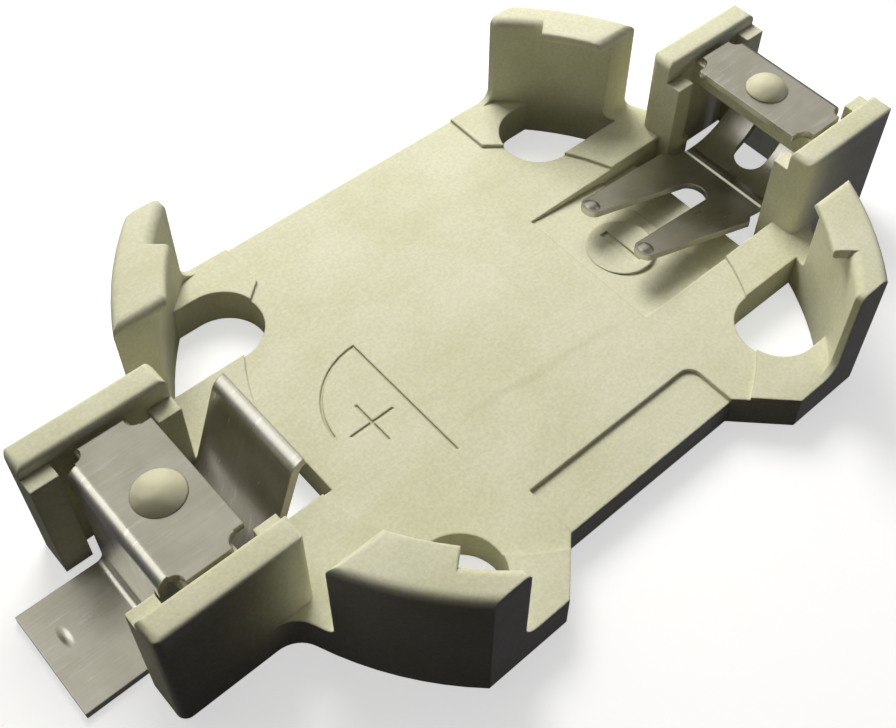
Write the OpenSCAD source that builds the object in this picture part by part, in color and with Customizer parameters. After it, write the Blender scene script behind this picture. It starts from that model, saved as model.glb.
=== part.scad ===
// Surface-mount holder for one 20 mm coin cell.
// X runs along the holder towards its negative end, Y across it and Z up from the board.
// The origin is on the board, under the centre of the cell.

/* [Cell] */
// Diameter of the coin cell
cell_d = 20; // [19.8:0.05:20.1]
// Height of the coin cell
cell_h = 3.2; // [3:0.1:3.4]
// Gap between the rim of the cell and the walls of the hooks
cell_gap = 0.08; // [0.05:0.01:0.15]

/* [Base plate] */
// Gap between the board and the underside of the body
standoff = 0.05; // [0.02:0.01:0.1]
// Thickness of the base plate under the cell
plate_t = 1.2; // [1:0.05:1.4]
// Width of the body across the cell seat
body_w = 16; // [15.6:0.1:16.4]
// Radius of the shallow pocket that the middle of the cell stands in
seat_r = 7.87; // [7.5:0.01:8]
// Height of the land around that pocket
land_h = 0.12; // [0.05:0.01:0.2]
// Length of the notch in the straight side, along the side wall
notch_l = 9.7; // [8:0.1:10.4]
// Depth of the notch, which is cut in at 45 degrees at both ends
notch_d = 1.5; // [1:0.1:1.8]
// Depth of the label recess beside the notch
label_d = 0.15; // [0.05:0.01:0.3]
// Distance of the label recess's inner edge from the middle of the holder
label_y = 4.8; // [4.4:0.1:5.4]

/* [Hooks] */
// Wall thickness of the four corner hooks
hook_t = 1; // [0.8:0.05:1.2]
// Height of the lip's underside over the top of the cell
lip_gap = 0.05; // [0.02:0.01:0.1]
// Height of the lip
lip_h = 0.36; // [0.25:0.01:0.5]
// How far the lip reaches in from the wall
lip_reach = 0.5; // [0.3:0.05:0.6]
// Angle from the holder's long axis at which the lip ends
lip_angle = 41; // [36:1:45]
// Distance from the long axis to the near end of a hook
hook_near_y = 4.65; // [4.4:0.05:4.8]
// Distance from the cross axis to the far end of a hook
hook_far_x = 6.45; // [6.2:0.05:6.8]
// Radius of the blend at the foot of a hook's ends
foot_r = 0.5; // [0.3:0.05:0.6]

/* [Hook holes] */
// Width of the through hole beside each hook
hole_w = 2.7; // [2.4:0.1:2.8]
// Middle of that hole, measured across the holder
hole_y = 5.55; // [5.5:0.05:5.7]
// Middle of the hole's round end, measured along the holder
hole_x = 6.6; // [6.4:0.1:6.9]

/* [Towers] */
// Length of the body over both end towers
body_l = 28.1; // [27.8:0.1:28.6]
// Width over the two cheeks of a tower
tower_w = 7; // [6.8:0.1:7.2]
// Thickness of a cheek
cheek_t = 0.85; // [0.7:0.05:1]
// Length of a tower
tower_l = 4.3; // [4.1:0.1:4.5]
// Height of the cheeks over the base plate
tower_h = 3.4; // [3.3:0.1:3.6]
// Radius of the blend between a tower and the round of the hooks
root_r = 0.9; // [0.5:0.1:1.1]

/* [Contacts] */
// Thickness of the contact strip
strip_t = 0.25; // [0.2:0.01:0.3]
// Height of the top plate's upper face over the base plate
plate_over = 3.1; // [3:0.05:3.15]
// Half width of the contact strip where it passes the cheeks
strip_half = 1.76; // [1.5:0.02:1.9]
// Distance from the cross axis to the end of a solder tab
tab_x = 15.76; // [15:0.02:16]
// Diameter of the melted stake head on each top plate
stake_d = 1.46; // [1.2:0.02:1.6]

/* [Hidden] */
$fn = 96;
eps = 0.01;
high = 12;

seat_z = standoff + plate_t;
land_z = seat_z + land_h;
wall_r = cell_d / 2 + cell_gap;
hook_r = wall_r + hook_t;
lip_z = land_z + cell_h + lip_gap;
hook_top = lip_z + lip_h;
half_w = body_w / 2;
half_l = body_l / 2;
hole_r = hole_w / 2;
tower_y = tower_w / 2;
cheek_y = tower_y - cheek_t;
tower_x = half_l - tower_l;
tower_top = seat_z + tower_h;
corner_r = 0.3;

// On the straight side the land stops this far from the cross axis.
land_x = 4.7;

// Ribs that turn in from the cheeks and keep the strip in place.
rib_in_y = 2.1;
rib_in_l = 0.7;
rib_in_top = seat_z + 2.6;
rib_out_y = 2.15;
rib_out_l = 0.8;
rib_out_top = seat_z + 2.95;

// Bridge between the cheeks, with the stake that holds the strip.
strip_top = seat_z + plate_over;
strip_under = strip_top - strip_t;
bridge_h = 0.85;
bridge_x = 11.1;
bridge_l = 1.5;
stake_x = 11.7;
stake_r = 0.42;
stake_rise = 0.45;

// Recess in the plate under the negative fingers.
finger_x = 3.63;
finger_step_x = 6.95;
finger_end_x = 8.6;
finger_z = [seat_z - 0.08, seat_z - 0.4, seat_z - 0.52];
pad_r = 1.15;
pad_x = 5.2;

// Window in the plate in front of the positive leaf spring.
window_x = 7.48;
window_y = 1.15;

// Polarity marks, sunk in the plate.
mark_d = 0.08;
plus_x = -5.23;
plus_half = 0.8;
mark_w = 0.3;
half_disc_r = 2.4;
half_disc_x = -3.98;

// Top plates of the contacts and the legs outside the bridges.
bend_r = 0.42;
leg_x = 13.12;
bend_x = leg_x - bend_r;
leg_z = strip_top - bend_r - 0.3;
neck_in_x = 10.62;
neck_y = 2.05;
wide_in_x = 10.93;
wide_y = 2.45;
wide_l = 1.87;
relief_r = 0.28;
foot_r_out = 0.5;

// Negative strip: wide curve with a slot, and two fingers with dimples.
curve_r = 2.4;
curve_z = seat_z + 1.87;
finger_root_x = 10.25;
finger_angle = 14.4;
finger_tip_x = 4.93;
finger_tip_r = 0.35;
finger_y = 1.21;
finger_wide_x = 9.3;
finger_wide_y = 2.08;
slit_x = 8.67;
slit_r = 0.5;
slot_x = 11.8;
slot_r = 0.6;
dimple_r = 0.27;
dimple_h = 0.14;

// Positive leaf, which leans over the seat and pushes the cell sideways.
leaf_lean = 19.5;
leaf_foot_x = 10.6;
leaf_bow_z = seat_z + 2.95;
leaf_bow_r = 0.55;
leaf_end = 80;

// Repeats a shape at the four corners of the holder.
module four_corners() {
    for (mx = [0, 1]) {
        for (my = [0, 1]) {
            mirror([mx, 0, 0]) mirror([0, my, 0]) children();
        }
    }
}

// A rectangle from one corner to another, with rounded corners.
module round_rect(low, far, r) {
    size = far - low;
    translate([low[0] + r, low[1]]) square([size[0] - 2 * r, size[1]]);
    translate([low[0], low[1] + r]) square([size[0], size[1] - 2 * r]);
    for (x = [low[0] + r, far[0] - r]) {
        for (y = [low[1] + r, far[1] - r]) {
            translate([x, y]) circle(r = r);
        }
    }
}

// A box from one corner to another.
module box(low, far) {
    translate(low) cube(far - low);
}

// An outline in X and Z, made into a bar across the holder.
module bar(y_low, y_high) {
    translate([0, y_high, 0]) rotate([90, 0, 0]) linear_extrude(y_high - y_low) children();
}

// The concave blend where a tower leaves the round of the hooks.
module root_blend() {
    centre_y = tower_y + root_r;
    centre_x = sqrt(pow(hook_r + root_r, 2) - pow(centre_y, 2));
    touch = hook_r / (hook_r + root_r);
    difference() {
        polygon([
            [hook_r - 2, tower_y - 1],
            [centre_x, tower_y - 1],
            [centre_x, centre_y],
            [centre_x * touch, centre_y * touch],
            [hook_r - 2, centre_y * touch],
        ]);
        translate([centre_x, centre_y]) circle(r = root_r);
    }
}

// Outline of the body, seen from above.
module body_outline() {
    difference() {
        union() {
            intersection() {
                circle(r = hook_r);
                square([2 * hook_r, body_w], center = true);
            }
            round_rect([-half_l, -tower_y], [half_l, tower_y], corner_r);
            four_corners() root_blend();
        }
        polygon([
            [-notch_l / 2 - 1, -half_w - 1],
            [-notch_l / 2 + notch_d, -half_w + notch_d],
            [notch_l / 2 - notch_d, -half_w + notch_d],
            [notch_l / 2 + 1, -half_w - 1],
        ]);
    }
}

// Through hole beside a hook: round at one end and cut off by the wall at the other.
module hook_hole() {
    intersection() {
        circle(r = wall_r);
        union() {
            translate([hole_x, hole_y]) circle(r = hole_r);
            translate([hole_x, hole_y - hole_r]) square([wall_r, hole_w]);
        }
    }
}

// Plan of one hook, which follows the rim of the cell.
module hook_plan(inner_r) {
    intersection() {
        difference() {
            circle(r = hook_r);
            circle(r = inner_r);
        }
        translate([hook_far_x, hook_near_y]) square([hook_r, half_w - hook_near_y]);
    }
}

// One corner hook: a curved wall, and a lip that snaps over the cell's rim.
module hook() {
    top_r = 0.28;
    lip_plan = [[0, 0], [20, 0], 20 * [cos(lip_angle), sin(lip_angle)]];
    intersection() {
        union() {
            intersection() {
                rotate_extrude() round_rect([wall_r, standoff - 1], [hook_r, hook_top], 0.3);
                translate([0, 0, seat_z]) linear_extrude(high) hook_plan(wall_r - 1);
            }
            intersection() {
                rotate_extrude() round_rect([wall_r - lip_reach, lip_z], [wall_r + 0.4, hook_top], 0.12);
                linear_extrude(high) intersection() {
                    hook_plan(wall_r - lip_reach - 1);
                    polygon(lip_plan);
                }
            }
        }
        bar(0, half_w + 1) round_rect([hook_far_x, 0], [hook_r + 1, hook_top], top_r);
        rotate([90, 0, 90]) linear_extrude(hook_r + 1) round_rect([hook_near_y, 0], [half_w + 1, hook_top], top_r);
    }
    translate([0, 0, standoff]) linear_extrude(plate_t + eps) hook_plan(wall_r);
}

// Concave blends at the foot of a hook's two ends.
module hook_feet() {
    far_y = sqrt(pow(wall_r, 2) - pow(hook_far_x, 2));
    difference() {
        box([hook_far_x - foot_r, far_y, seat_z], [hook_far_x + eps, half_w, land_z + foot_r]);
        translate([hook_far_x - foot_r, 0, land_z + foot_r]) rotate([-90, 0, 0]) cylinder(r = foot_r, h = high);
    }
    intersection() {
        difference() {
            box([wall_r - 2, hook_near_y - foot_r / 2, seat_z], [hook_r, hook_near_y + eps, land_z + foot_r / 2]);
            translate([0, hook_near_y - foot_r / 2, land_z + foot_r / 2])
                rotate([0, 90, 0]) cylinder(r = foot_r / 2, h = 2 * high);
        }
        translate([0, 0, seat_z]) linear_extrude(high) difference() {
            circle(r = hook_r);
            circle(r = wall_r);
        }
    }
}

// The base plate with the land around its seat, the hook holes and the label recess.
module plate() {
    label_x = notch_l / 2 - notch_d;
    label_r = 0.45;
    difference() {
        translate([0, 0, standoff]) linear_extrude(plate_t + land_h) difference() {
            body_outline();
            four_corners() hook_hole();
        }
        translate([0, 0, seat_z]) cylinder(r = seat_r, h = 1);
        box([-land_x, 0, seat_z], [land_x, half_w + 1, high]);
        translate([0, 0, seat_z - label_d]) linear_extrude(1) {
            translate([-label_x, -half_w]) square([2 * label_x - label_r, half_w - label_y]);
            translate([-label_x, -half_w]) square([2 * label_x, half_w - label_y - label_r]);
            translate([label_x - label_r, -label_y - label_r]) circle(r = label_r);
        }
    }
}

// What is cut from the plate for the fingers, between the seat and the negative tower.
module finger_recess() {
    bar(-cheek_y, cheek_y) polygon([
        [finger_x, high],
        [finger_x, finger_z[0]],
        [finger_step_x, finger_z[1]],
        [finger_step_x, finger_z[2]],
        [finger_end_x, finger_z[2]],
        [finger_end_x, 0],
        [tower_x + rib_in_l, 0],
        [tower_x + rib_in_l, high],
    ]);
}

// Round pad with a sunk minus sign, on the slope of the finger recess.
module minus_pad() {
    difference() {
        translate([pad_x, 0, standoff]) cylinder(r = pad_r, h = plate_t - 0.1);
        translate([pad_x - mark_w / 2, -plus_half, seat_z - 0.1 - mark_d]) cube([mark_w, 2 * plus_half, 1]);
    }
}

// Sunk half disc with a raised plus sign, at the positive end of the seat.
module plus_mark() {
    difference() {
        translate([half_disc_x, 0, seat_z - mark_d]) difference() {
            cylinder(r = half_disc_r, h = 1);
            translate([0, -high / 2, -1]) cube([high, high, high]);
        }
        translate([plus_x, 0, 0]) linear_extrude(seat_z) {
            square([2 * plus_half, mark_w], center = true);
            square([mark_w, 2 * plus_half], center = true);
        }
    }
}

// Opening under a tower, where the strip passes between the ribs.
module tower_opening() {
    box([tower_x - 0.2, -rib_in_y, 0], [tower_x + rib_in_l + eps, rib_in_y, high]);
    box([tower_x + rib_in_l, -cheek_y, 0], [half_l - rib_out_l, cheek_y, high]);
    box([half_l - rib_out_l - eps, -rib_out_y, 0], [half_l + 1, rib_out_y, high]);
}

// The two cheeks of a tower, with rounded edges and lower ribs at both ends.
module cheeks() {
    for (side = [0, 1]) {
        mirror([0, side, 0]) {
            intersection() {
                translate([tower_x, 0, 0]) rotate([90, 0, 90]) linear_extrude(tower_l)
                    round_rect([cheek_y, -1], [tower_y, tower_top], 0.18);
                bar(0, tower_y) round_rect([tower_x, -1], [half_l, tower_top], 0.28);
                translate([0, 0, standoff]) linear_extrude(high) round_rect([tower_x, 0], [half_l, tower_y], corner_r);
            }
            box([tower_x, rib_in_y, standoff], [tower_x + rib_in_l, cheek_y + 0.2, rib_in_top]);
            box([half_l - rib_out_l, rib_out_y, standoff], [half_l, cheek_y + 0.2, rib_out_top]);
            box([tower_x, rib_in_y, standoff], [tower_x + 1, tower_y, seat_z]);
        }
    }
}

// Bridge with its stake: a pin through the strip and a melted dome over it.
module stake_bridge() {
    head_r = stake_d / 2;
    ball_r = (pow(head_r, 2) + pow(stake_rise, 2)) / (2 * stake_rise);
    box([bridge_x, -cheek_y - 0.1, strip_under - bridge_h], [bridge_x + bridge_l, cheek_y + 0.1, strip_under]);
    translate([stake_x, 0, strip_under - eps]) cylinder(r = stake_r, h = strip_t + 2 * eps);
    intersection() {
        translate([stake_x, 0, strip_top]) cylinder(r = head_r, h = stake_rise);
        translate([stake_x, 0, strip_top + stake_rise - ball_r]) sphere(r = ball_r);
    }
}

module tower() {
    cheeks();
    stake_bridge();
}

module holder_body() {
    color("#dedcbc") {
        difference() {
            union() {
                plate();
                four_corners() hook();
                four_corners() hook_feet();
            }
            finger_recess();
            plus_mark();
            tower_opening();
            mirror([1, 0, 0]) tower_opening();
            box([-tower_x, -window_y, 0], [-window_x, window_y, high]);
        }
        minus_pad();
        tower();
        mirror([1, 0, 0]) tower();
    }
}

// Edge of a strip where it is bent: a ring sector of less than 120 degrees.
module bend(centre, outer_r, from, to) {
    reach = 2.4 * outer_r;
    middle = (from + to) / 2;
    translate(centre) intersection() {
        difference() {
            circle(r = outer_r);
            circle(r = outer_r - strip_t);
        }
        polygon([
            [0, 0],
            reach * [cos(from), sin(from)],
            reach * [cos(middle), sin(middle)],
            reach * [cos(to), sin(to)],
        ]);
    }
}

// Straight stretch of a strip's edge along one face from a to b, with its metal on the left.
module run(a, b) {
    along = (b - a) / norm(b - a);
    side = strip_t * [-along[1], along[0]];
    polygon([a, b, b + side, a + side]);
}

// Top plate of a contact, with round reliefs at its ears and the bend down to the leg.
module top_plate() {
    translate([0, 0, strip_under]) linear_extrude(strip_t) difference() {
        union() {
            translate([neck_in_x, -neck_y]) square([bend_x - neck_in_x, 2 * neck_y]);
            translate([wide_in_x, -wide_y]) square([wide_l, 2 * wide_y]);
        }
        translate([stake_x, 0]) circle(r = stake_r);
        for (x = [wide_in_x, wide_in_x + wide_l]) {
            for (y = [-wide_y, wide_y]) {
                translate([x, y * 0.97]) circle(r = relief_r);
            }
        }
    }
    bar(-neck_y, neck_y) {
        bend([bend_x, strip_top - bend_r], bend_r, 0, 90);
        translate([leg_x - strip_t, leg_z]) square([strip_t, strip_top - bend_r - leg_z]);
    }
}

// Edge of a solder tab: down the leg, round a bend and outwards along the board.
module tab_edge() {
    foot_x = leg_x + foot_r_out - strip_t;
    translate([leg_x - strip_t, foot_r_out]) square([strip_t, strip_top - bend_r - foot_r_out]);
    bend([foot_x, foot_r_out], foot_r_out, 180, 270);
    translate([foot_x, 0]) square([tab_x - foot_x, strip_t]);
}

// Edge of the spring part of the negative strip: leg, wide curve, flange and rising fingers.
module finger_edge() {
    centre = [leg_x - curve_r, curve_z];
    root = [finger_root_x, curve_z - curve_r];
    rise = [-cos(finger_angle), sin(finger_angle)];
    translate([leg_x - strip_t, curve_z]) square([strip_t, strip_top - bend_r - curve_z]);
    bend(centre, curve_r, -45, 0);
    bend(centre, curve_r, -90, -45);
    translate(root) square([centre[0] - finger_root_x, strip_t]);
    run(root + (finger_root_x - finger_tip_x + 1) * rise, root);
}

// Plan of the negative strip: two tapered fingers with a slit between them.
module finger_plan() {
    tip_in_x = finger_tip_x;
    difference() {
        union() {
            for (side = [0, 1]) {
                mirror([0, side]) {
                    polygon([
                        [tip_in_x, finger_y - finger_tip_r],
                        [tip_in_x, finger_y + finger_tip_r],
                        [finger_wide_x, finger_wide_y],
                        [finger_wide_x + 0.45, strip_half],
                        [leg_x, strip_half],
                        [leg_x, 0],
                        [slit_x, 0],
                        [slit_x, slit_r],
                    ]);
                    translate([tip_in_x, finger_y]) circle(r = finger_tip_r);
                }
            }
        }
        translate([slit_x, 0]) circle(r = slit_r);
    }
}

// Cap of a small sphere, pressed up in a finger where it touches the cell.
module finger_dimple() {
    ball_r = (pow(dimple_r, 2) + pow(dimple_h, 2)) / (2 * dimple_h);
    reach = finger_root_x - finger_tip_x;
    face_z = curve_z - curve_r + reach * tan(finger_angle) + strip_t / cos(finger_angle);
    translate([finger_tip_x, finger_y, face_z]) rotate([0, finger_angle, 0]) intersection() {
        translate([0, 0, dimple_h - ball_r]) sphere(r = ball_r);
        translate([0, 0, -strip_t / 2]) cylinder(r = dimple_r, h = strip_t);
    }
}

// Edge of the positive leaf: base on the board, bend, leaning leaf and a top bowed over the cell.
module leaf_edge() {
    normal = [cos(leaf_lean), sin(leaf_lean)];
    along = [-sin(leaf_lean), cos(leaf_lean)];
    foot = [leaf_foot_x, foot_r_out];
    offset_r = foot_r_out - strip_t + leaf_bow_r;
    climb = (leaf_bow_z - foot_r_out + offset_r * normal[1]) / along[1];
    bow = foot + climb * along - offset_r * normal;
    translate([leaf_foot_x, 0]) square([leg_x + foot_r_out - leaf_foot_x, strip_t]);
    bend(foot, foot_r_out, 180 + leaf_lean, 270);
    run(bow + (leaf_bow_r - strip_t) * normal + eps * along, foot - foot_r_out * normal);
    bend(bow, leaf_bow_r, leaf_lean, leaf_end);
}

module negative_contact() {
    color("#b9b5aa") {
        top_plate();
        bar(-strip_half, strip_half) tab_edge();
        difference() {
            intersection() {
                bar(-tower_y, tower_y) finger_edge();
                linear_extrude(high) finger_plan();
            }
            linear_extrude(leg_z) {
                translate([slot_x, 0]) circle(r = slot_r);
                translate([slot_x, -slot_r]) square([leg_x - strip_t - slot_x, 2 * slot_r]);
            }
        }
        for (side = [0, 1]) {
            mirror([0, side, 0]) finger_dimple();
        }
    }
}

module positive_contact() {
    color("#b9b5aa") {
        mirror([1, 0, 0]) {
            top_plate();
            bar(-strip_half, strip_half) tab_edge();
            bar(-strip_half, strip_half) leaf_edge();
        }
    }
}

holder_body();
positive_contact();
negative_contact();
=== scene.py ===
import math

import bmesh
import bpy
from mathutils import Matrix, Vector


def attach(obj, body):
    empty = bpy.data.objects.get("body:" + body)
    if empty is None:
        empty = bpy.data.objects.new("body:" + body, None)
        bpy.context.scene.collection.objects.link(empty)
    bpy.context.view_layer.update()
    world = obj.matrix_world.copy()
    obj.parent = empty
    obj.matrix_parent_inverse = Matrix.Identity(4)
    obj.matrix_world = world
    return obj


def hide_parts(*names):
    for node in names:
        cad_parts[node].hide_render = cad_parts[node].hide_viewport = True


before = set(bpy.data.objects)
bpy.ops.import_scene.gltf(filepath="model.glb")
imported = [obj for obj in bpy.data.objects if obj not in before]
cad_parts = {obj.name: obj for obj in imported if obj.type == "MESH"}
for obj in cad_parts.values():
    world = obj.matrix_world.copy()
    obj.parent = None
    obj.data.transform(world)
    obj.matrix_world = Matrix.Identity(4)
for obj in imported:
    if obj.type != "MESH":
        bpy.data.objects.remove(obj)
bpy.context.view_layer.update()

MM = 0.001


# ---------------------------------------------------------------------------
# Holder body: one injection moulding in a pale, glass-filled, heat-resistant
# nylon. The tool leaves a fine matt grain, edges break to a small radius, and
# two pins are melted into domes over the contacts after assembly.
# ---------------------------------------------------------------------------

def shade_smooth(mesh):
    """Shades neighbouring faces as one skin, except across true corners."""
    for face in mesh.polygons:
        face.use_smooth = True
    mesh.set_sharp_from_angle(angle=math.radians(32))


def whole_piece(name, node, ease=None):
    """A piece in a CAD node's own shape, with its flat faces joined up and its curves smooth."""
    shape = bmesh.new()
    shape.from_mesh(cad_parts[node].data)
    if ease:
        ease(shape)
    bmesh.ops.remove_doubles(shape, verts=shape.verts, dist=0.0005 * MM)
    bmesh.ops.dissolve_limit(
        shape, angle_limit=math.radians(0.5), verts=shape.verts, edges=shape.edges
    )
    mesh = bpy.data.meshes.new(name)
    shape.to_mesh(mesh)
    shape.free()
    if "custom_normal" in mesh.attributes:
        mesh.attributes.remove(mesh.attributes["custom_normal"])
    shade_smooth(mesh)
    piece = bpy.data.objects.new(name, mesh)
    bpy.context.scene.collection.objects.link(piece)
    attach(piece, "root")
    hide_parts(node)
    return piece


class Wire:
    """An output in a material's node tree, which takes part in arithmetic as a number does."""

    def __init__(self, tree, socket=None):
        self.tree = tree
        self.socket = socket

    def make(self, kind, settings=None, inputs=None, out=0):
        """Any other node: its settings go in first, then its sockets' values or wires."""
        node = self.tree.nodes.new("ShaderNode" + kind)
        for name, value in (settings or {}).items():
            setattr(node, name, value)
        for name, value in (inputs or {}).items():
            if isinstance(value, Wire):
                self.tree.links.new(value.socket, node.inputs[name])
            else:
                node.inputs[name].default_value = value
        return Wire(self.tree, node.outputs[out])

    def is_number(self):
        return self.socket.type == "VALUE"

    def calculate(self, operation, first, second):
        both = [first, second]
        if all(not isinstance(v, Wire) or v.is_number() for v in both):
            return self.make("Math", {"operation": operation}, dict(enumerate(both)))
        both = [v if isinstance(v, (Wire, tuple)) else (v, v, v) for v in both]
        return self.make("VectorMath", {"operation": operation}, dict(enumerate(both)))

    def __add__(self, other):
        return self.calculate("ADD", self, other)

    def __radd__(self, other):
        return self.calculate("ADD", other, self)

    def __sub__(self, other):
        return self.calculate("SUBTRACT", self, other)

    def __rsub__(self, other):
        return self.calculate("SUBTRACT", other, self)

    def __mul__(self, other):
        return self.calculate("MULTIPLY", self, other)

    def __rmul__(self, other):
        return self.calculate("MULTIPLY", other, self)

    def larger(self, other):
        return self.calculate("MAXIMUM", self, other)

    def smaller(self, other):
        return self.calculate("MINIMUM", self, other)

    def size(self):
        """Length of a vector, or the plain size of a number."""
        if self.is_number():
            return self.make("Math", {"operation": "ABSOLUTE"}, {0: self})
        return self.make("VectorMath", {"operation": "LENGTH"}, {0: self}, out="Value")

    def diagonal(self, other):
        """Length of the diagonal whose two sides are these numbers."""
        return self.make("CombineXYZ", None, {0: self, 1: other}).size()

    def parts(self):
        return [self.make("SeparateXYZ", None, {0: self}, out=axis) for axis in range(3)]

    def ramp(self, low, high):
        """0 below low and 1 above high, with a soft change between them."""
        return self.make(
            "MapRange",
            {"interpolation_type": "SMOOTHSTEP"},
            {"Value": self, "From Min": low, "From Max": high},
        )

    def blend(self, off, on):
        """The colour off where this mask is 0, and the colour on where it is 1."""
        off, on = [v if isinstance(v, Wire) else (*v, 1.0) for v in (off, on)]
        factor, colour_a, colour_b, mixed = 0, 6, 7, 2
        return self.make(
            "Mix", {"data_type": "RGBA"}, {factor: self, colour_a: off, colour_b: on}, out=mixed
        )

    def noise(self, scale, detail=2.0, stretch=(1.0, 1.0, 1.0)):
        """Soft noise at this many patches for each millimetre."""
        return self.make(
            "TexNoise", None, {"Vector": self * stretch, "Scale": scale, "Detail": detail}
        )

    def facing(self):
        """The direction that the surface faces."""
        return self.make("NewGeometry", out="Normal")

    def broken_edges(self, radius):
        """The direction that the surface faces, with edges eased to a radius in millimetres."""
        return self.make("Bevel", {"samples": 4}, {"Radius": radius * MM})

    def enclosed(self, reach):
        """0 in the open, and nearer 1 where walls stand close, within a reach in millimetres."""
        return 1.0 - self.make("AmbientOcclusion", {"samples": 4}, {"Distance": reach * MM}, "AO")

    def relief(self, strength, depth, facing):
        """The direction that the surface faces once this height, at this depth, is added."""
        return self.make(
            "Bump",
            None,
            {"Strength": strength, "Distance": depth * MM, "Height": self, "Normal": facing},
        )


def new_material(name):
    """A new material, its shader, and a wire that carries places on the part in millimetres."""
    material = bpy.data.materials.new(name)
    material.use_nodes = True
    tree = material.node_tree
    shader = tree.nodes["Principled BSDF"]
    place = Wire(tree).make("TexCoord", out="Object") * (1 / MM)
    return material, shader, place


def plug(shader, **wires):
    for name, wire in wires.items():
        shader.id_data.links.new(wire.socket, shader.inputs[name.replace("_", " ")])


# The polarity mark is a half disc with a plus sign in it, drawn by fine grooves in the seat.
# These sizes and those of the stake heads are in millimetres, as all sizes below are.
seat_top = 1.25
mark_floor = 1.17
mark_x = -3.98
mark_radius = 2.4
plus_x = -5.24
plus_y = -0.12
plus_reach = 0.78
half_groove = 0.04
groove_depth = 0.05
stake_x = 11.7
stake_radius = 0.73
plate_top = 4.3


def moulded_plastic():
    material, shader, place = new_material("moulded_plastic")
    x, y, z = place.parts()

    # Grain of the tool, glass fibres under the skin, and slow changes of tone from the melt's flow.
    grain = place.noise(9.0, 3.0)
    fibres = place.noise(5.0, 2.0, (0.45, 2.2, 1.0))
    clouds = place.noise(0.45, 2.0)
    flow = place.noise(0.5, 3.0, (0.35, 1.6, 1.0))
    tone = 0.5 * clouds + 0.3 * flow + 0.2 * fibres
    deeper, paler = (0.685, 0.68, 0.47), (0.765, 0.757, 0.58)
    colour = tone.ramp(0.35, 0.65).blend(deeper, paler)
    speckle = grain.ramp(0.32, 0.7)
    colour = colour * (0.945 + 0.09 * speckle)

    # Handling rubs the edges paler, and painted shade darkens the corners where walls stand close.
    rubbed, corner_shade = (0.83, 0.82, 0.66), (0.36, 0.33, 0.19)
    eased = place.broken_edges(0.09)
    both = {0: eased, 1: place.facing()}
    bend = 1.0 - place.make("VectorMath", {"operation": "DOT_PRODUCT"}, both, out="Value")
    worn = bend.ramp(0.015, 0.15) * (0.35 + 0.65 * clouds.ramp(0.4, 0.6))
    colour = (0.45 * worn).blend(colour, rubbed)
    painted_corner_shade = place.enclosed(0.55).ramp(0.35, 0.95)
    colour = (0.3 * painted_corner_shade).blend(colour, corner_shade)

    # Painted shade darkens the mark's grooves. Each mask below is the distance from a groove's
    # middle, which jumps past the groove's ends. The arc's painted shade is fainter on its near
    # side.
    def straight(across, along, reach):
        return across.size() + 2.0 * (along.size() - reach).ramp(-half_groove, half_groove)

    groove_shade = (0.4, 0.36, 0.17)
    from_chord = x - mark_x
    past_chord = from_chord.ramp(-half_groove, half_groove)
    faint = 1.0 - y.ramp(-1.0, 0.4)
    arc = (from_chord.diagonal(y) - mark_radius).size() + 2.0 * past_chord + 0.2 * faint
    chord = straight(from_chord, y, mark_radius + 0.5 * half_groove)
    upright = straight(x - plus_x, y - plus_y, plus_reach)
    level = straight(y - plus_y, x - plus_x, plus_reach)
    nearest = arc.smaller(chord).smaller(upright.smaller(level))
    above_floor = z.ramp(seat_top - 0.15, seat_top - 0.05)
    below_walls = 1.0 - z.ramp(seat_top + 0.05, seat_top + 0.15)
    on_seat = above_floor * below_walls
    painted_groove_shade = (1.0 - nearest.ramp(0.02, 0.085)) * on_seat
    colour = (0.3 * painted_groove_shade).blend(colour, groove_shade)

    # Two fronts of melt met along a faint wavering line across the seat.
    weld_shade = (0.45, 0.4, 0.22)
    waver = 0.5 * (clouds - 0.5) + 0.35 * (flow - 0.5)
    from_front = (y + 2.02 + 0.12 * x - waver).size()
    weld = (1.0 - from_front.ramp(0.03, 0.22)) * x.ramp(-3.3, -2.3) * (1.0 - x.ramp(1.5, 3.5))
    colour = (0.16 * weld * on_seat).blend(colour, weld_shade)

    # The two stake heads were melted, so they are lumpy, smoother and a little darker.
    melt = (0.68, 0.66, 0.46)
    from_stake = (x.size() - stake_x).diagonal(y)
    on_stake = 1.0 - from_stake.ramp(stake_radius - 0.05, stake_radius + 0.05)
    melted = on_stake * z.ramp(plate_top, plate_top + 0.06)
    colour = (0.8 * melted).blend(colour, melt)

    lumps = place.noise(1.7, 1.0)
    rough = 0.5 + 0.16 * grain - 0.05 * worn - 0.2 * melted
    height = (0.7 * grain + 0.3 * fibres) * (1.0 - 0.8 * melted) + 6.0 * lumps * melted
    plug(shader, Base_Color=colour, Roughness=rough, Normal=height.relief(0.42, 0.02, eased))
    shader.inputs["IOR"].default_value = 1.5
    return material


def level_mark(shape):
    """Brings the floor of the polarity mark level with the seat, before its grooves are cut."""
    slack = 0.01
    for vert in shape.verts:
        x, y, z = vert.co / MM
        on_floor = abs(z - mark_floor) < slack
        in_disc = x < mark_x + slack and math.hypot(x - mark_x, y) < mark_radius + slack
        if on_floor and in_disc:
            vert.co.z = seat_top * MM


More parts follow.
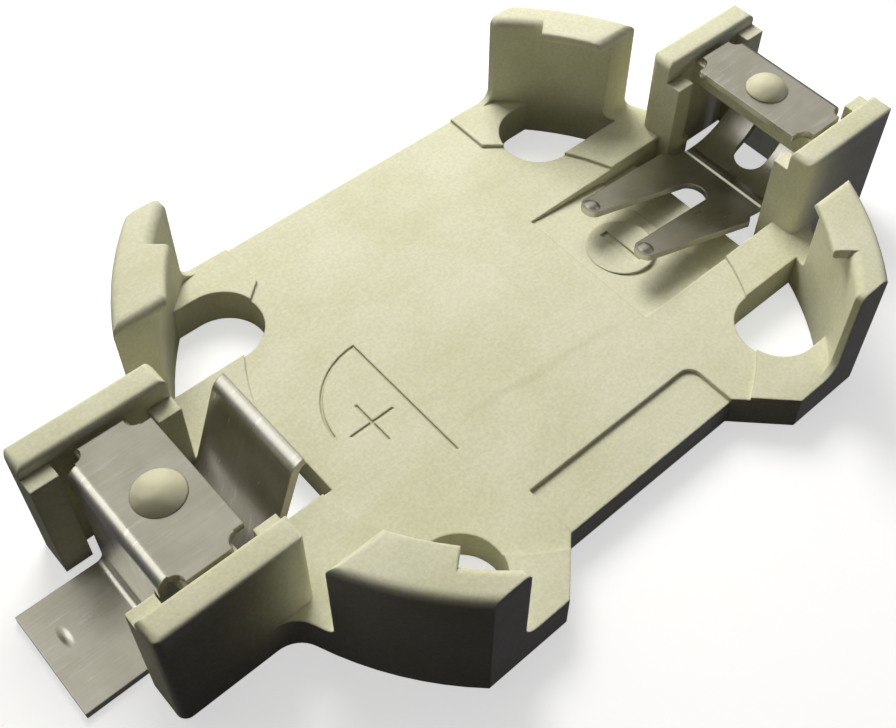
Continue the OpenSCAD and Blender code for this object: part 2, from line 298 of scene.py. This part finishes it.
def cut_groove(piece, outline):
    """Sinks one fine groove into the seat, along an outline."""
    bottom = (seat_top - groove_depth) * MM
    clear_of_seat = (seat_top + 0.11) * MM
    shape = bmesh.new()
    base = shape.faces.new([shape.verts.new((x * MM, y * MM, bottom)) for x, y in outline])
    raised = bmesh.ops.extrude_face_region(shape, geom=[base])["geom"]
    for vert in [part for part in raised if isinstance(part, bmesh.types.BMVert)]:
        vert.co.z = clear_of_seat
    bmesh.ops.recalc_face_normals(shape, faces=shape.faces)
    ridge_mesh = bpy.data.meshes.new("ridge")
    shape.to_mesh(ridge_mesh)
    shape.free()
    ridge = bpy.data.objects.new("ridge", ridge_mesh)
    bpy.context.scene.collection.objects.link(ridge)
    cut = piece.modifiers.new("groove", "BOOLEAN")
    cut.operation = "DIFFERENCE"
    cut.solver = "EXACT"
    cut.object = ridge
    bpy.context.view_layer.update()
    worked = piece.evaluated_get(bpy.context.evaluated_depsgraph_get())
    mesh = bpy.data.meshes.new_from_object(worked)
    piece.modifiers.remove(cut)
    piece.data = mesh
    bpy.data.objects.remove(ridge)


def bar(x, y, reach_x, reach_y):
    """Corners of a rectangle, from its middle and how far it reaches to each side."""
    left, right, near, far = x - reach_x, x + reach_x, y - reach_y, y + reach_y
    return [(left, near), (right, near), (right, far), (left, far)]


def arc_band(x, radius, half_width, first, last, steps=24):
    """Outline of a band that follows an arc, between two angles in degrees."""
    turns = [math.radians(first + (last - first) * step / steps) for step in range(steps + 1)]
    outer = [(radius + half_width, turn) for turn in turns]
    inner = [(radius - half_width, turn) for turn in reversed(turns)]
    return [(x + r * math.cos(turn), r * math.sin(turn)) for r, turn in outer + inner]


body = whole_piece("holder_body_moulding", "holder_body", level_mark)
cut_groove(body, bar(mark_x, 0.0, half_groove, mark_radius + half_groove))
cut_groove(body, arc_band(mark_x, mark_radius, half_groove, 91, 176))
cut_groove(body, bar(plus_x, plus_y, half_groove, plus_reach))
cut_groove(body, bar(plus_x, plus_y, plus_reach, half_groove))
shade_smooth(body.data)
body.data.name = body.name
body.data.materials.append(moulded_plastic())


# ---------------------------------------------------------------------------
# Positive contact: one blank of thin spring steel, stamped, bent up and tin
# plated. Its tab is soldered to the board and its leaf presses on the cell's
# rim, so rolling lines run along the strip and the cut edges are duller.
# ---------------------------------------------------------------------------

def plated_strip(name, marks, painted_shade):
    material, shader, place = new_material(name)

    # Lines left by rolling, a cloudy plating, and small rubs.
    lines = place.noise(1.0, 3.0, (0.12, 16.0, 0.12))
    cloudy = place.noise(0.9, 3.0)
    pits = place.noise(11.0, 2.0)
    rubs = place.noise(2.2, 4.0, (0.4, 3.0, 0.4)).ramp(0.58, 0.7)
    dull_tin, bright_tin, rubbed_tin = (0.575, 0.56, 0.495), (0.7, 0.69, 0.63), (0.84, 0.83, 0.8)
    colour = (0.7 * cloudy + 0.3 * lines).ramp(0.3, 0.7).blend(dull_tin, bright_tin)
    colour = (0.35 * rubs).blend(colour, rubbed_tin)

    # Cut edges are matt and darker than the plated faces.
    bare_steel = (0.36, 0.33, 0.29)
    sideways = place.facing().parts()[1].size()
    cut = sideways.ramp(0.8, 0.95)
    colour = (0.5 * cut).blend(colour, bare_steel)

    # Brown painted shade darkens the strip where it is enclosed, by an amount given for each
    # contact.
    shade_brown = (0.15, 0.125, 0.09)
    enclosure_shade = place.enclosed(2.2).ramp(0.2, 0.75)
    colour = (painted_shade(place) * (0.25 + 0.75 * enclosure_shade)).blend(colour, shade_brown)

    rough = 0.23 + 0.14 * cloudy + 0.06 * lines + 0.18 * cut - 0.06 * rubs
    skin = 0.35 * lines + 0.45 * pits + 0.2 * cloudy
    eased = skin.relief(0.5, 0.005, place.broken_edges(0.05))
    plug(shader, Base_Color=colour, Roughness=rough, Normal=marks(place).relief(1.0, 0.08, eased))
    shader.inputs["Metallic"].default_value = 1.0
    return material


def tab_dent(place):
    """A short dent along the middle of the solder tab, left by the carrier that held the blank."""
    dent_x, dent_y, lengthwise = -15.06, 0.42, 0.4
    x, y, _ = place.parts()
    from_dent = (x - dent_x).diagonal((y - dent_y) * lengthwise)
    return 0.4 * from_dent.ramp(0.0, 0.17)


def leaf_painted_shade(place):
    """The leaf and its foot get painted shade up to the bow at the top, and the rest gets little.
    """
    x, _, z = place.parts()
    on_leaf = x.ramp(-11.2, -10.5)
    below_bow = 1.0 - z.ramp(4.1, 4.4)
    return 0.15 + 0.8 * on_leaf * below_bow


positive = whole_piece("positive_contact_strip", "positive_contact")
positive.data.materials.append(plated_strip("plated_strip_positive", tab_dent, leaf_painted_shade))


# ---------------------------------------------------------------------------
# Negative contact: the same strip, with its end bent into a wide curve and
# split into two fingers. Each finger has a dimple near its tip, and the strip
# is joggled where the fingers leave the curve.
# ---------------------------------------------------------------------------

def finger_joggle(place):
    """The small step across the strip at the root of the fingers."""
    x, _, z = place.parts()
    step = x.ramp(10.22, 10.4) - x.ramp(10.52, 10.7)
    under_curve = 1.0 - z.ramp(1.6, 1.9)
    return 1.3 * step * under_curve


def finger_painted_shade(place):
    """The flat of the fingers gets a little painted shade, and the curve behind them almost none,
    so it stays bright.
    """
    behind_fingers = place.parts()[0].ramp(9.9, 10.3)
    return 0.05 + 0.3 * (1.0 - behind_fingers)


negative = whole_piece("negative_contact_strip", "negative_contact")
negative.data.materials.append(plated_strip("plated_strip_negative", finger_joggle, finger_painted_shade))


# ---------------------------------------------------------------------------
# Studio table: a seamless pale sheet that shines a little by itself, so that
# it stays white around the part, and sends hardly any light back up to it.
# ---------------------------------------------------------------------------

def ray_mask(wire, *kinds):
    """1 for the kinds of ray named, and 0 for the rest."""
    mask = wire.make("LightPath", out=f"Is {kinds[0]} Ray")
    for kind in kinds[1:]:
        mask = mask.larger(wire.make("LightPath", out=f"Is {kind} Ray"))
    return mask


def pale_sheet():
    material, shader, place = new_material("pale_sheet")
    fibre = place.noise(1.2, 3.0)
    paper = fibre.blend((0.955, 0.955, 0.95), (0.985, 0.985, 0.985))
    nearly_black, black, white = (0.03, 0.03, 0.035), (0.0, 0.0, 0.0), (1.0, 1.0, 1.0)
    seen = ray_mask(place, "Camera", "Transmission")
    mirrored = ray_mask(place, "Glossy")
    colour = seen.blend(nearly_black, paper * 0.55)
    away = place.size().ramp(30.0, 110.0)
    glow = (seen * (0.6 + 0.4 * away) + 0.08 * mirrored).blend(black, white)
    plug(shader, Base_Color=colour, Emission_Color=glow)
    shader.inputs["Roughness"].default_value = 0.9
    shader.inputs["Specular IOR Level"].default_value = 0.0
    shader.inputs["Emission Strength"].default_value = 1.0
    return material


half_side = 3000.0
floor_mesh = bpy.data.meshes.new("floor")
corners = [(x * MM, y * MM, 0.0) for x, y in bar(0.0, 0.0, half_side, half_side)]
floor_mesh.from_pydata(corners, [], [(0, 1, 2, 3)])
floor = bpy.data.objects.new("floor", floor_mesh)
bpy.context.scene.collection.objects.link(floor)
floor_mesh.materials.append(pale_sheet())


# ---------------------------------------------------------------------------
# Lights: one soft window-like key from behind, a pale card that only shows in
# the metal, a weak cool fill, and a room that is bright behind and dark in
# front of the part.
# ---------------------------------------------------------------------------

def lamp(name, place, aim, width, power, colour):
    """A round area lamp, turned from its place to its aim."""
    light = bpy.data.lights.new(name, "AREA")
    light.shape = "DISK"
    light.size = width * MM
    light.energy = power
    light.color = colour
    stand = bpy.data.objects.new(name, light)
    bpy.context.scene.collection.objects.link(stand)
    stand.location = Vector(place) * MM
    stand.rotation_euler = (Vector(place) - Vector(aim)).to_track_quat("Z", "Y").to_euler()
    return stand


middle = (0, 0, 0)
fingers = (12, -3, 2)
key = lamp("key", (14, 34, 46), middle, width=34, power=0.0305, colour=(1.0, 0.985, 0.945))
key.visible_glossy = False
card = lamp("card", (-56, 38, 56), middle, width=60, power=0.0105, colour=(1.0, 1.0, 0.97))
card.visible_diffuse = False
lamp("fill", (40, -34, 12), fingers, width=14, power=0.0018, colour=(0.72, 0.72, 1.0))

world = bpy.data.worlds.new("studio")
bpy.context.scene.world = world
world.use_nodes = True
room = Wire(world.node_tree).make("TexCoord", out="Generated")
room_x, room_y, room_z = room.parts()
behind = (0.1 * room_x + 0.6 * room_y + 0.55 * room_z).ramp(0.3, 0.72)
front_shade = ray_mask(room, "Glossy").blend((0.011, 0.007, 0.015), (0.2, 0.19, 0.18))
shade = behind.blend(front_shade, (0.66, 0.645, 0.575))
shade = ray_mask(room, "Camera", "Transmission").blend(shade, (1.0, 1.0, 1.0))
background = world.node_tree.nodes["Background"]
world.node_tree.links.new(shade.socket, background.inputs["Color"])


# ---------------------------------------------------------------------------
# Camera: it stands close, over the near corner at the positive end, and looks
# down across the part with its lens shifted off the middle of the view.
# ---------------------------------------------------------------------------

camera = bpy.data.cameras.new("camera")
camera.lens = 52.35
camera.sensor_width = 36.0
camera.sensor_fit = "HORIZONTAL"
camera.shift_x = -0.114
camera.shift_y = -0.092
camera.clip_start = 0.001
camera_object = bpy.data.objects.new("camera", camera)
bpy.context.scene.collection.objects.link(camera_object)
camera_object.matrix_world = Matrix(
    (
        (0.7253, 0.5003, -0.4729, -0.01734),
        (-0.6856, 0.5868, -0.4308, -0.01756),
        (0.0620, 0.6367, 0.7686, 0.03324),
        (0.0, 0.0, 0.0, 1.0),
    )
)
bpy.context.scene.camera = camera_object
bpy.context.scene.view_settings.view_transform = "Standard"
